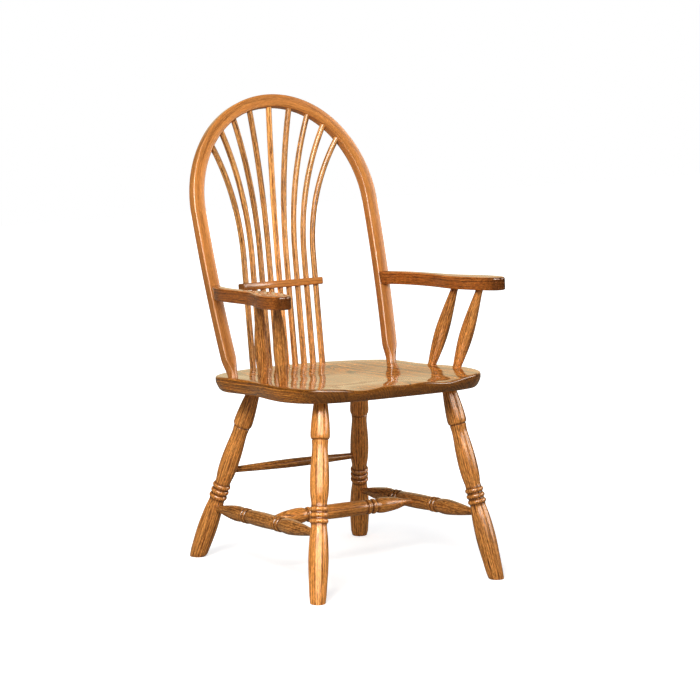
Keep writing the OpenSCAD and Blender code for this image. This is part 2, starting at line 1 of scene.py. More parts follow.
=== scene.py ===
import math
import bpy
import numpy as np
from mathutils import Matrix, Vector

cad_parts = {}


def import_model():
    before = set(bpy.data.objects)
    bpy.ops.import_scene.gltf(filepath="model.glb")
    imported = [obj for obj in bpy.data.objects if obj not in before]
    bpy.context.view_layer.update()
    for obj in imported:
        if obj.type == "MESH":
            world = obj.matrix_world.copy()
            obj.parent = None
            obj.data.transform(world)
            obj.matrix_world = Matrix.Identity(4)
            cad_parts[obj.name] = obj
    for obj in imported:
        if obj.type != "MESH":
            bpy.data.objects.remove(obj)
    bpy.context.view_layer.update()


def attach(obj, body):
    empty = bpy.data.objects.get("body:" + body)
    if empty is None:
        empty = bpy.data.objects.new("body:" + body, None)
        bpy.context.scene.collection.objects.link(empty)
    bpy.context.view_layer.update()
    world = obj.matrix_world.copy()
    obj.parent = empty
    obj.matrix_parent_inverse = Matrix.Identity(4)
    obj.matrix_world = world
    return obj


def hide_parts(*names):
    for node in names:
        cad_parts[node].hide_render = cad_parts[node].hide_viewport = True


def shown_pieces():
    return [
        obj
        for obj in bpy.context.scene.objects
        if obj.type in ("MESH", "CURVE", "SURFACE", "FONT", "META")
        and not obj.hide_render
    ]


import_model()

MM = 0.001
rng = np.random.default_rng(7)

# Seat plane, bow plane and the other driving sizes
SEAT_HEIGHT, SEAT_Y, SEAT_SLOPE = 462.0, -77.051, 4.2
HALF_WIDTH, FRONT_EDGE, TAIL_EDGE = 251.5, -230.113, 340.887
SEAT_THICKNESS, SADDLE_DEPTH, THIGH_DROP, UNDERCUT, SIDE_RISE = 33.0, 12.0, 9.0, 13.0, 3.0
BOW_X, BOW_S, BOW_RAKE = 216.04, 181.01, 14.5
BOW_FACE, BOW_THICKNESS, BOW_EASE, BOW_FOOT = 30.0, 24.0, 3.5, 23.0
BOW_HEIGHT, ARCH_START, BOW_DRAW, BOW_SOCKET = 663.0, 395.0, 18.0, 23.0
SPINDLE_PITCH, SPINDLE_LEAN, SPINDLE_FOOT, SPINDLE_TOP = 23.8, 4.8, 14.8, 13.8
SPRING_HEIGHT, ROW_RADIUS, TIE_HEIGHT, TIE_THICKNESS, TIE_WIDTH = 262.0, 800.0, 195.5, 17.0, 23.0
ARM_HEIGHT, ARM_THICKNESS, POST_DIAMETER, POST_END, POST_FOOT = 184.0, 30.0, 32.5, 17.0, 20.0
LEG_DIAMETER, RING_HEIGHT, REAR_TRIM, LEG_SOCKET = 46.0, 198.0, 24.0, 20.0
FRONT_SPLAY, FRONT_RAKE, REAR_SPLAY, REAR_RAKE = 8.9, 12.8, 11.3, 17.5
SIDE_FRONT_HEIGHT, SIDE_REAR_HEIGHT, REAR_HEIGHT = 150.0, 121.0, 213.0
STRETCHER_DIAMETER, STRETCHER_END, REAR_STRETCHER, REAR_END = 36.0, 15.5, 21.5, 14.5
PIN_SOCKET, END_GAP = 15.0, 0.4


# Places in the seat's own plane

def tilt(points, degrees):
    """Points leaned to the rear about the X axis."""
    a = math.radians(degrees)
    x, y, z = np.moveaxis(np.asarray(points, float), -1, 0)
    return np.stack([x, y * math.cos(a) + z * math.sin(a), z * math.cos(a) - y * math.sin(a)], -1)


def on_seat(points):
    """From the seat's plane, with z above its rim, to the chair's frame."""
    return tilt(points, SEAT_SLOPE) + [0, SEAT_Y, SEAT_HEIGHT]


def on_bow(points):
    """From the bow's plane, with z along its rake, to the chair's frame."""
    return on_seat(tilt(points, BOW_RAKE) + [0, BOW_S, 0])


# Curves

def bend(a, b, c, d, t):
    return 0.5 * (2 * b + (c - a) * t + (2 * a - 5 * b + 4 * c - d) * t ** 2
                  + (3 * b - a - 3 * c + d) * t ** 3)


def curve(points, steps, closed=False):
    """Smooth curve through a list of points."""
    p = np.asarray(points, float)
    n = len(p)
    at = (lambda i: p[i % n]) if closed else (lambda i: p[min(max(i, 0), n - 1)])
    out = [bend(at(i - 1), at(i), at(i + 1), at(i + 2), k / steps)
           for i in range(n if closed else n - 1) for k in range(steps)]
    return np.array(out if closed else out + [p[-1]])


def ease(t):
    t = np.clip(t, 0, 1)
    return t * t * (3 - 2 * t)


def section(a, b, c, steps=4):
    """Rectangle of half sizes a and b with corners of radius c."""
    corners = [(1, 1, 0), (-1, 1, 90), (-1, -1, 180), (1, -1, 270)]
    turns = np.linspace(0, 90, steps + 1)
    return np.array([[p * (a - c) + c * math.cos(math.radians(s + t)),
                      q * (b - c) + c * math.sin(math.radians(s + t))]
                     for p, q, s in corners for t in turns])


def drawn_in(ring, d):
    """Closed ring of points, moved inward along its own normals."""
    v = np.roll(ring, -1, 0) - np.roll(ring, 1, 0)
    inward = np.stack([-v[:, 1], v[:, 0]], -1) / np.linalg.norm(v, axis=1, keepdims=True)
    return ring + d * inward


# Meshes. Each keeps its grain coordinates, with the last one along the wood

SHARP_ANGLE = 38
FOOT_BREAK, FOOT_CLEAR = 1.3, 6
GROOVE_REACH, GROOVE_START, GROOVE_DEPTH = 4, 0.8, 1.8


def log_place(grain, pith, turn):
    """Grain coordinates moved to one place in a log, pith millimetres from its heart."""
    a = math.radians(turn)
    x, y, z = np.moveaxis(np.asarray(grain, float), -1, 0)
    return np.stack([x * math.cos(a) - y * math.sin(a) + pith, x * math.sin(a) + y * math.cos(a),
                     z + rng.uniform(0, 4000)], -1)


def cut_shade(mesh, ends, sides):
    """Stain in the sawn edges of a plank that runs front to back: at its ends and its sides."""
    normals = np.zeros(len(mesh.vertices) * 3)
    mesh.vertices.foreach_get("normal", normals)
    normals = normals.reshape(-1, 3)
    across = ends * np.clip(np.abs(normals @ ALONG_SEAT) * 2.2 - 0.4, 0, 1)
    beside = sides * np.clip(1.3 - 1.7 * np.abs(normals @ ABOVE_SEAT), 0, 1)
    return np.maximum(across, beside)


def make(name, rings, grain, node, pith=90, turn=None, tone=None, shade=None, cut=None):
    """Mesh over equal rings of points, which stands for one CAD node.

    pith and turn place the wood in its log, tone is its paleness, shade darkens each ring (painted
    shade in grooves, on the posts and on the tie, and darker towards the bow's feet) and cut is
    the stain of its sawn ends and sides. What isn't given is drawn at random or absent.
    """
    rings, grain = np.asarray(rings, float), np.asarray(grain, float)
    m, n = rings.shape[:2]
    grain = log_place(grain, pith, rng.uniform(0, 360) if turn is None else turn)
    faces = [(j * n + i, j * n + (i + 1) % n, (j + 1) * n + (i + 1) % n, (j + 1) * n + i)
             for j in range(m - 1) for i in range(n)]
    faces += [tuple(range(n - 1, -1, -1)), tuple((m - 1) * n + i for i in range(n))]
    mesh = bpy.data.meshes.new(name)
    mesh.from_pydata((rings.reshape(-1, 3) * MM).tolist(), [], faces)
    mesh.attributes.new("grain", "FLOAT_VECTOR", "POINT").data.foreach_set(
        "vector", (grain.reshape(-1, 3) * MM).ravel())
    tone = rng.uniform(-1, 1) if tone is None else tone
    mesh.attributes.new("tone", "FLOAT", "POINT").data.foreach_set("value", np.full(m * n, tone))
    shade = np.zeros(m * n) if shade is None else np.repeat(shade, n)
    if cut is not None:
        shade = np.maximum(shade, cut_shade(mesh, *cut))
    mesh.attributes.new("shade", "FLOAT", "POINT").data.foreach_set("value", shade)
    mesh.validate()
    mesh.shade_smooth()
    mesh.set_sharp_from_angle(angle=math.radians(SHARP_ANGLE))
    piece = bpy.data.objects.new(name, mesh)
    bpy.context.scene.collection.objects.link(piece)
    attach(piece, "root")
    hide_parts(node)


def mirrored(rings):
    """The same rings on the other side, turned so that their faces still look outward."""
    return (np.asarray(rings, float) * [-1, 1, 1])[:, ::-1]


def frame_along(p, q):
    """Unit vectors across, across and along the line from p to q."""
    along = (q - p) / np.linalg.norm(q - p)
    side = np.cross([0, 0, 1.0], along) if abs(along[2]) < 0.9 else np.cross(along, [0, 1.0, 0])
    side /= np.linalg.norm(side)
    return side, np.cross(along, side), along


def groove_shade(profile):
    """Painted shade: 0 on open wood, up to 1 in the narrow grooves of a turned profile."""
    r, z = profile[:, 0], profile[:, 1]
    near = np.abs(z[:, None] - z[None, :]) < GROOVE_REACH
    peak = np.where(near, r[None, :], 0).max(1)
    return np.clip((peak - r - GROOVE_START) / GROOVE_DEPTH, 0, 1)


def turned(name, node, p, q, profile, sides=40, mirror=False, floor=False, **wood):
    """Turned piece about the line from p to q, from a profile of radii and heights."""
    p, q = np.asarray(p, float), np.asarray(q, float)
    e, f, along = frame_along(p, q)
    angles = np.linspace(0, 2 * math.pi, sides, endpoint=False)
    around = np.outer(np.cos(angles), e) + np.outer(np.sin(angles), f)
    rings = [p + z * along + r * around for r, z in profile]
    if floor:
        # The foot is cut level, with its edge just broken
        foot, rim = rings[0].copy(), rings[0].copy()
        foot -= FOOT_BREAK * around
        for ring, height in ((foot, 0), (rim, FOOT_BREAK)):
            ring += np.outer((height - ring[:, 2]) / along[2], along)
        above = [j for j, ring in enumerate(rings) if ring[:, 2].min() > FOOT_CLEAR]
        rings = [foot, rim] + [rings[j] for j in above]
        profile = np.vstack([profile[:1], profile[:1], profile[above]])
    rings = np.array(rings)
    local = rings - p
    grain = np.stack([local @ e, local @ f, local @ along], -1)
    if mirror:
        rings, grain = mirrored(rings), grain[:, ::-1]
    # Painted shade in the grooves, unless another shade is given
    wood.setdefault("shade", groove_shade(profile))
    make(name, rings, grain, node, **wood)


def swept(name, node, points, across, deep, shapes, to_frame, **wood):
    """Piece along a path: its points, the two directions across it and a section at each."""
    points = np.asarray(points, float)
    step = np.linalg.norm(np.diff(points, axis=0), axis=1)
    length = np.concatenate([[0], np.cumsum(step)])
    rings, grain = [], []
    for p, u, v, shape, l in zip(points, across, deep, shapes, length):
        rings.append(p + np.outer(shape[:, 0], u) + np.outer(shape[:, 1], v))
        grain.append(np.column_stack([shape, np.full(len(shape), l)]))
    make(name, to_frame(np.array(rings)), grain, node, **wood)


ALONG_SEAT = on_seat([0, 1.0, 0]) - on_seat([0, 0, 0.0])
ABOVE_SEAT = on_seat([0, 0, 1.0]) - on_seat([0, 0, 0.0])

# Seat, a saddled plank of boards that run from front to back

OUTLINE_HALF = [(0, 1.0), (0.32, 0.996), (0.60, 0.965), (0.828, 0.872), (0.966, 0.685),
                (1.020, 0.42), (1.006, 0.14), (0.964, -0.10), (0.938, -0.25), (0.944, -0.43),
                (0.948, -0.60), (0.885, -0.745), (0.745, -0.865), (0.535, -0.945), (0.28, -0.988),
                (0, -1.0)]
SEAT_MIDDLE = np.array([0, 0.09 * (TAIL_EDGE - FRONT_EDGE)])


def seat_outline(steps):
    left = [(x * HALF_WIDTH, s * FRONT_EDGE if s > 0 else -s * TAIL_EDGE) for x, s in OUTLINE_HALF]
    right = [(-x, s) for x, s in left[-2:0:-1]]
    return curve(left + right, steps, closed=True)


def bump(x, width):
    return np.exp(-(x / HALF_WIDTH / width) ** 2)


def saddle(x, s, t):
    """Height of the dished top, where t is 0 in the middle of the seat and 1 at its rim."""
    hollow = lambda v: ease((0.9 - v) / 0.62)
    thigh = bump(np.abs(x) - 0.44 * HALF_WIDTH, 0.20) + 0.66 * bump(x, 0.17)
    drop = THIGH_DROP * thigh * ease((s / FRONT_EDGE - 0.15) / 0.95)
    ridge = 3.5 * bump(x, 0.14) * ease((s / FRONT_EDGE + 0.05) / 0.7)
    side = (ease((np.abs(x) / HALF_WIDTH - 0.6) / 0.35)
            * ease(1.5 - 3 * np.abs(s - SEAT_MIDDLE[1]) / (TAIL_EDGE - FRONT_EDGE)))
    return -SADDLE_DEPTH * hollow(t) - drop + ridge * hollow(t * 0.8) + SIDE_RISE * side


def seat():
    outline = seat_outline(6)
    edge = curve([(4.5, 0), (1.4, -1.2), (0, -4.2), (0, -11), (0.09 * UNDERCUT, -16),
                  (0.3 * UNDERCUT, -22), (0.62 * UNDERCUT, 4 - SEAT_THICKNESS),
                  (UNDERCUT, -SEAT_THICKNESS)], 3)
    v = outline - SEAT_MIDDLE
    r = np.linalg.norm(v, axis=1, keepdims=True)
    ring_at = lambda t, inset: SEAT_MIDDLE + v * (t * (r - inset) / r)
    rings = []
    for t in np.concatenate([[0.01], np.arange(0.04, 0.99, 0.03)]):
        q = ring_at(t, 3.5 + max(0, t - 0.9) * 10)
        rings.append(np.column_stack([q, saddle(q[:, 0], q[:, 1], t)]))
    rim = saddle(outline[:, 0], outline[:, 1], 1.0)
    for inset, h in edge:
        q = ring_at(1, inset)
        low = rim * (1 + h / SEAT_THICKNESS)
        rings.append(np.column_stack([q, h + low]))
    rings.append(np.column_stack([ring_at(0.5, UNDERCUT), np.full(len(v), -SEAT_THICKNESS)]))
    rings = np.array(rings)[::-1]
    grain = rings[:, :, [0, 2, 1]]
    make("seat_plank", on_seat(rings), grain, "seat", pith=0, turn=0, tone=0.3, cut=(0.8, 0.0))


# Back bow

BOW_HALF = BOW_X + BOW_DRAW
ARCH_RISE = BOW_HEIGHT - BOW_FACE / 2 - ARCH_START
ARCH_TURN = math.radians(39.6)
HAUNCH_SHIFT = (ARCH_RISE - BOW_HALF) / (1 + math.tan(ARCH_TURN) - 1 / math.cos(ARCH_TURN))
HAUNCH_RADIUS = BOW_HALF + HAUNCH_SHIFT
CROWN_DROP = HAUNCH_SHIFT * math.tan(ARCH_TURN)
CROWN_RADIUS = ARCH_RISE - CROWN_DROP
STILE_RADIUS = (ARCH_START ** 2 + BOW_DRAW ** 2) / (2 * BOW_DRAW)
STILE_TURN = math.asin(ARCH_START / STILE_RADIUS)


def bow_half_path():
    """Stations x, z, turn and length from the seat, from the foot up to the crown.

    The length stops growing at the top of the stile, where the bow has its full section.
    """
    out = []
    for l in (END_GAP - BOW_SOCKET, -8):
        out.append((BOW_X + l * math.sin(STILE_TURN), l * math.cos(STILE_TURN), -STILE_TURN, l))
    stile_length = STILE_RADIUS * STILE_TURN
    for l in np.concatenate([np.arange(0, 70, 4), np.linspace(74, stile_length, 24)[:-1]]):
        a = l / STILE_RADIUS - STILE_TURN
        out.append((BOW_HALF - STILE_RADIUS * (1 - math.cos(a)),
                    ARCH_START + STILE_RADIUS * math.sin(a), a, l))
    for a in np.linspace(0, ARCH_TURN, 20)[:-1]:
        out.append((HAUNCH_RADIUS * math.cos(a) - HAUNCH_SHIFT,
                    ARCH_START + HAUNCH_RADIUS * math.sin(a), a, stile_length))
    for a in np.linspace(ARCH_TURN, math.pi / 2, 24):
        out.append((CROWN_RADIUS * math.cos(a),
                    ARCH_START + CROWN_DROP + CROWN_RADIUS * math.sin(a), a, stile_length))
    return out


def bow():
    half = bow_half_path()
    path = half + [(-x, z, math.pi - a, l) for x, z, a, l in half[-2::-1]]
    mix = lambda a, b, t: a + (b - a) * t
    r = BOW_FOOT / 2
    points, across, shapes = [], [], []
    for x, z, a, l in path:
        t = float(ease((l - 4) / 46))
        points.append((x, 0, z))
        across.append((math.cos(a), 0, math.sin(a)))
        shapes.append(section(mix(r, BOW_FACE / 2, t), mix(r, BOW_THICKNESS / 2, t),
                              mix(r - 0.2, BOW_EASE, t), 6))
    deep = np.tile([0, 1.0, 0], (len(path), 1))
    low = 0.3 * (1 - ease((np.array([p[3] for p in path]) - 150) / 250))
    swept("bent_bow", "back_bow", points, np.array(across), deep, shapes, on_bow, pith=110,
          turn=80, tone=0.1, shade=low)


# Spindles

TIP_START, TIP_SOCKET = 3.0, 13.0
ROW_CENTRE = 0.89 * TAIL_EDGE


def arch_point(a, d):
    """Point of the arch a degrees from its crown, drawn in by d."""
    a = math.radians(a)
    if a <= math.pi / 2 - ARCH_TURN:
        return ((CROWN_RADIUS - d) * math.sin(a),
                ARCH_START + CROWN_DROP + (CROWN_RADIUS - d) * math.cos(a))
    return ((HAUNCH_RADIUS - d) * math.sin(a) - HAUNCH_SHIFT,
            ARCH_START + (HAUNCH_RADIUS - d) * math.cos(a))


# Paleness of the wood of each spindle, from the sitter's right; the middle one's is partly painted
# sheen
SPINDLE_TONES = [-0.3, 0.3, -0.6, 0.3, 4.5, 0.4, 0.6, 0.6, 0.5]


def spindle(i):
    """Spindle number i, from -4 at the sitter's right to 4: straight foot, bend and tip."""
    lean, rake = math.radians(SPINDLE_LEAN), math.radians(BOW_RAKE)
    up = np.array([0, math.sin(lean), math.cos(lean)])
    x = i * SPINDLE_PITCH
    foot = np.array([x, ROW_CENTRE - ROW_RADIUS + math.sqrt(ROW_RADIUS ** 2 - x * x), 0])
    start = foot + up * SPRING_HEIGHT / up[2]
    a, v = arch_point(abs(i) * (15.4 - 0.48 * abs(i)), BOW_FACE / 2 + TIP_START)
    tip = np.array([math.copysign(a, i), BOW_S + v * math.sin(rake), v * math.cos(rake)])
    rise = (tip - start) @ up
    side = tip - start - up * rise
    reach = np.linalg.norm(side)
    side /= reach
    radius = (reach ** 2 + rise ** 2) / (2 * reach)
    turn = 2 * math.atan2(reach, rise)
    lift = SPRING_HEIGHT / up[2]
    stations = [(foot + up * l, up, side, r) for l, r in spindle_foot_profile(lift)]
    for t in np.linspace(0, turn, 26)[1:]:
        p = start + radius * ((1 - math.cos(t)) * side + math.sin(t) * up)
        stations.append((p, math.cos(t) * up + math.sin(t) * side,
                         math.cos(t) * side - math.sin(t) * up, SPINDLE_TOP / 2 - 0.05))
    p, along, out, r = stations[-1]
    stations.append((p + along * (TIP_START + TIP_SOCKET - END_GAP), along, out, r))
    angles = np.linspace(0, 2 * math.pi, 20, endpoint=False)
    circle = np.column_stack([np.cos(angles), np.sin(angles)])
    points = [s[0] for s in stations]
    across = [s[2] for s in stations]
    deep = [np.cross(s[1], s[2]) for s in stations]
    swept("back_spindle_%d" % (i + 5), "spindle_%d" % (i + 5), points, across, deep,
          [circle * s[3] for s in stations], on_seat, pith=rng.uniform(60, 160),
          tone=SPINDLE_TONES[i + 4])


def spindle_foot_profile(lift):
    """Distances along the straight part of a spindle, and radii there."""
    lower = TIE_HEIGHT / math.cos(math.radians(SPINDLE_LEAN)) - TIE_THICKNESS
    marks = [END_GAP - PIN_SOCKET, 0, 12] + list(np.linspace(40, lower, 7)) + [lift - 20, lift]
    return [(l, np.interp(l, [12, lower], [SPINDLE_FOOT / 2, SPINDLE_TOP / 2])) for l in marks]


def tie():
    turn = math.asin((4 * SPINDLE_PITCH + 15.5) / ROW_RADIUS)
    lean = math.cos(math.radians(SPINDLE_LEAN))
    ends = np.array([0, 0.6, 1.5, 3.0]) / ROW_RADIUS
    turns = np.concatenate([-turn + ends, np.linspace(-turn, turn, 27)[1:-1], turn - ends[::-1]])
    inset = np.concatenate([[2.6, 1.1, 0.3, 0], np.zeros(25), [0, 0.3, 1.1, 2.6]])
    points = [(ROW_RADIUS * math.sin(a), ROW_RADIUS * (math.cos(a) - 1), 0) for a in turns]
    outward = [(math.sin(a), math.cos(a), 0) for a in turns]
    shapes = [section(TIE_WIDTH / 2 - d, TIE_THICKNESS / 2 - d, 3.0 - 0.5 * d) for d in inset]
    place = lambda p: on_seat(tilt(p + [0, 0, TIE_HEIGHT / lean], SPINDLE_LEAN)
                              + [0, ROW_CENTRE, 0])
    up = np.tile([0, 0, 1.0], (len(points), 1))
    # Painted shade darkens the tie towards its end at the sitter's right
    swept("spindle_band", "spindle_tie", points, np.array(outward), up,
          [s[::-1] for s in shapes], place, pith=70, turn=30, tone=-0.3,
          shade=0.8 * (1 - ease((turns / turn + 1) / 0.8)))


# Arms

ARM_OUTER = [(0.951, 0.951), (0.984, 0.875), (1.030, 0.76), (1.066, 0.60), (1.084, 0.38),
             (1.093, 0.14), (1.108, -0.05), (1.150, -0.22), (1.204, -0.38), (1.237, -0.54),
             (1.240, -0.68), (1.206, -0.80), (1.142, -0.845)]
ARM_INNER = [(1.075, -0.81), (1.024, -0.70), (0.982, -0.53), (0.955, -0.36), (0.947, -0.20),
             (0.957, -0.05), (0.974, 0.12), (0.978, 0.34), (0.968, 0.54), (0.940, 0.71),
             (0.898, 0.85), (0.862, 0.951)]
BOW_FRONT = BOW_S + ARM_HEIGHT * math.tan(math.radians(BOW_RAKE))
ARM_GAP, ARM_LOW_EDGE, ARM_TOP_EDGE, ARM_TOP_DROP, ARM_HOLD = 0.1, 3.2, 4.8, 4.5, 0.8


def arm_ring(loop, inset, h):
    """Outline of the arm at height h, with its rear end on the raked face of the bow."""
    rake = math.radians(BOW_RAKE)
    ring = drawn_in(loop, inset)
    lean = (h - ARM_HEIGHT) * math.tan(rake) * ease(ring[:, 1] / BOW_FRONT * 3 - 1.8)
    ring[:, 1] += lean
    face = BOW_S + h * math.tan(rake) - (BOW_THICKNESS / 2 + ARM_GAP) / math.cos(rake)
    ring[0] = (loop[0][0] + inset, face)
    ring[-1] = (loop[-1][0] - inset, face)
    return np.column_stack([ring, np.full(len(ring), h)])


def arms():
    outline = curve([(x * HALF_WIDTH, s * BOW_FRONT if s > 0 else -s * FRONT_EDGE)
                     for x, s in ARM_OUTER + ARM_INNER], 6)
    loop = outline[::-1]
    top = ARM_HEIGHT + ARM_THICKNESS
    quarter = np.radians(np.linspace(0, 90, 6))
    rings = [arm_ring(loop, ARM_GAP + ARM_LOW_EDGE * (1 - math.sin(a)),
                      ARM_HEIGHT + ARM_LOW_EDGE * (1 - math.cos(a))) for a in quarter]
    # A ring beside each rounding keeps the sides flat
    rings += [arm_ring(loop, ARM_GAP, h) for h in (ARM_HEIGHT + ARM_LOW_EDGE + ARM_HOLD,
                                                   top - ARM_TOP_DROP - ARM_HOLD)]
    rings += [arm_ring(loop, ARM_GAP + ARM_TOP_EDGE * (1 - math.cos(a)),
                       top - ARM_TOP_DROP * (1 - math.sin(a))) for a in quarter]
    rings = np.array(rings)
    grain = rings[:, :, [0, 2, 1]]
    wood = {"turn": 0, "tone": 0.1, "cut": (1.0, 0.25)}
    make("arm_rest_left", on_seat(rings), grain, "arm_left", pith=-270, **wood)
    make("arm_rest_right", mirrored(on_seat(rings)), grain[:, ::-1], "arm_right", pith=-290,
         **wood)


def posts():
    r, e, f = POST_DIAMETER / 2, POST_END / 2, POST_FOOT / 2
    places = {"front": ((0.926 * HALF_WIDTH, 0.324 * FRONT_EDGE), (1.078, 0.545)),
              "rear": ((0.903 * HALF_WIDTH, 0.067 * TAIL_EDGE), (1.049, 0.143))}
    for place, (low, high) in places.items():
        p = on_seat([*low, 0])
        q = on_seat([high[0] * HALF_WIDTH, high[1] * FRONT_EDGE, ARM_HEIGHT])
        w = np.linalg.norm(q - p)
        profile = np.vstack([
            [[f, END_GAP - PIN_SOCKET]],
            curve([(f, 6), (f + 0.4, 11), (0.76 * r, 0.14 * w), (0.93 * r, 0.29 * w),
                   (r, 0.44 * w), (0.92 * r, 0.6 * w), (0.74 * r, 0.78 * w),
                   (e + 0.6, 0.93 * w), (e, w - 4)], 6),
            [[e, w + PIN_SOCKET - END_GAP]]])
        for side, tone, painted_shadow in (("left", -1.4, 0.1), ("right", -0.7, 0.4)):
            # Painted shadow of the arm, darker towards the top of each post and more on the right
            # posts
            shade = painted_shadow * ease((profile[:, 1] / w - 0.5) / 0.3)
            turned("arm_support_%s_%s" % (place, side), "arm_post_%s_%s" % (place, side), p, q,
                   profile, 32, mirror=side == "right", pith=rng.uniform(45, 90), tone=tone,
                   shade=shade)


# Legs and stretchers

BEAD_RADIUS, BEAD_ARC = 6, 60
LEG_RING_RADIUS, LEG_RING_PITCH = 14.5, 13
PAIR_SPACING, PAIR_HALF, PAIR_CLEAR = 7, 15, 17
# The leg's pattern is drawn for this diameter and neck
LEG_PATTERN, LEG_NECK = 44, 14.4
SIDE_RINGS, CENTRE_RINGS = (0.325, 0.640), (0.305, 0.695)
# Paleness of the wood of each leg; the front right one's is partly painted sheen
LEG_TONES = {("front", "right"): 1.6, ("front", "left"): -0.5, ("rear", "right"): 0.0,
             ("rear", "left"): 1.8}


def bead(x, z, r, degrees, steps=10):
    a = np.radians(np.linspace(-degrees, degrees, steps + 1))
    return np.column_stack([x + r * np.cos(a), z + r * np.sin(a)])


def leg_profile(below, above):
    """Radii and heights of a leg about its middle ring."""
    lower = curve([(16.8, -below - 30), (17.3, -198), (20, -146), (22, -98), (20.4, -54),
                   (17.7, -29), (17.2, -24)], 8)
    middle = curve([(17.2, 24), (17.7, 29), (20, 46), (21, 72), (20, 104), (17.8, 132),
                    (17.1, 146), (17.9, 157), (18.2, 160.6)], 6)
    swell = curve([(19.6, 164.4), (20.9, 168), (21.2, 176), (20.2, 196), (17.8, 220),
                   (15.2, 242), (LEG_NECK, 250)], 6)
    rings = [bead(LEG_RING_RADIUS, i * LEG_RING_PITCH, BEAD_RADIUS, BEAD_ARC) for i in (-1, 0, 1)]
    profile = np.vstack([lower[lower[:, 1] > -below - 29], *rings, middle, [[16.9, 162.2]], swell])
    profile = np.vstack([profile * LEG_DIAMETER / LEG_PATTERN,
                         [[LEG_NECK * LEG_DIAMETER / LEG_PATTERN, above + LEG_SOCKET - END_GAP]]])
    return profile + [0, below]


def leg_line(at, splay, rake):
    """The leg's axis: where it meets the floor and the underside of the seat."""
    top = on_seat([*at, -SEAT_THICKNESS])
    lean = np.array([math.tan(math.radians(splay)), math.tan(math.radians(rake)), -1])
    return top + top[2] * lean, top


def on_leg(foot, top, z):
    return foot + (top - foot) * z / top[2]


def bead_pair(at, r):
    core = r - BEAD_RADIUS
    return np.vstack([[[0.8 * r, at - PAIR_HALF]],
                      bead(core, at - PAIR_SPACING, BEAD_RADIUS, BEAD_ARC),
                      bead(core, at + PAIR_SPACING, BEAD_RADIUS, BEAD_ARC),
                      [[0.8 * r, at + PAIR_HALF]]])


def stretcher(name, node, p, q, ring_a, ring_b, mirror=False, tone=-2.0):
    """Turned stretcher from p to q, with a pair of rings at each of two shares of its length."""
    w = np.linalg.norm(q - p)
    a, b, e, r = ring_a * w, ring_b * w, STRETCHER_END / 2, STRETCHER_DIAMETER / 2
    c = w - b
    profile = np.vstack([
        [[e, 3]],
        curve([(e, 24), (e + 1, 36), (0.78 * r, 0.44 * a), (r, 0.69 * a), (0.98 * r, 0.82 * a),
               (0.86 * r, a - PAIR_CLEAR)], 7),
        bead_pair(a, r),
        curve([(0.86 * r, a + PAIR_CLEAR), (0.93 * r, a + 27), (0.98 * r, (a + b) / 2),
               (0.93 * r, b - 27), (0.86 * r, b - PAIR_CLEAR)], 6),
        bead_pair(b, r),
        curve([(0.86 * r, b + PAIR_CLEAR), (0.98 * r, w - 0.82 * c), (r, w - 0.69 * c),
               (0.78 * r, w - 0.44 * c), (e + 1, w - 36), (e, w - 24)], 7),
        [[e, w - 3]]])
    turned(name, node, p, q, profile, 36, mirror, pith=rng.uniform(45, 80), tone=tone)


def underframe():
    front = leg_line((0.682 * HALF_WIDTH, 0.576 * FRONT_EDGE), FRONT_SPLAY, -FRONT_RAKE)
    rear = leg_line((0.569 * HALF_WIDTH, 0.618 * TAIL_EDGE), REAR_SPLAY, REAR_RAKE)
    for place, (foot, top), below in (("front", front, RING_HEIGHT),
                                      ("rear", rear, RING_HEIGHT - REAR_TRIM)):
        profile = leg_profile(below, np.linalg.norm(top - foot) - below)
        for side in ("left", "right"):
            turned("turned_leg_%s_%s" % (place, side), "leg_%s_%s" % (place, side), foot, top,
                   profile, 44, mirror=side == "right", floor=True, pith=rng.uniform(50, 90),
                   turn=rng.uniform(15, 50) * (-1 if side == "right" else 1),
                   tone=LEG_TONES[place, side])
    side_front, side_rear = on_leg(*front, SIDE_FRONT_HEIGHT), on_leg(*rear, SIDE_REAR_HEIGHT)
    for side in ("left", "right"):
        stretcher("turned_rail_" + side, "side_stretcher_" + side, side_rear, side_front,
                  *SIDE_RINGS, side == "right")
    middle = side_rear + (side_front - side_rear) * sum(SIDE_RINGS) / 2
    stretcher("turned_rail_centre", "centre_stretcher", middle * [-1, 1, 1], middle,
              *CENTRE_RINGS, tone=0.1)
    end = on_leg(*rear, REAR_HEIGHT)
    w, e, r = 2 * end[0], REAR_END / 2, REAR_STRETCHER / 2
    profile = np.vstack([[[e, 3]], curve([(e, 20), (e + 0.3, 32), (0.9 * r, 0.3 * w),
                                          (r, 0.5 * w), (0.9 * r, 0.7 * w), (e + 0.3, w - 32),
                                          (e, w - 20)], 6), [[e, w - 3]]])
    turned("thin_rail_rear", "rear_stretcher", end * [-1, 1, 1], end, profile, 24, pith=60,
           tone=-2)


# Materials

def linear(r, g, b):
    """Linear colour from the values 0 to 255 seen on a screen."""
    f = lambda c: c / 12.92 if c <= 0.04045 else ((c + 0.055) / 1.055) ** 2.4
    return (f(r / 255), f(g / 255), f(b / 255), 1.0)


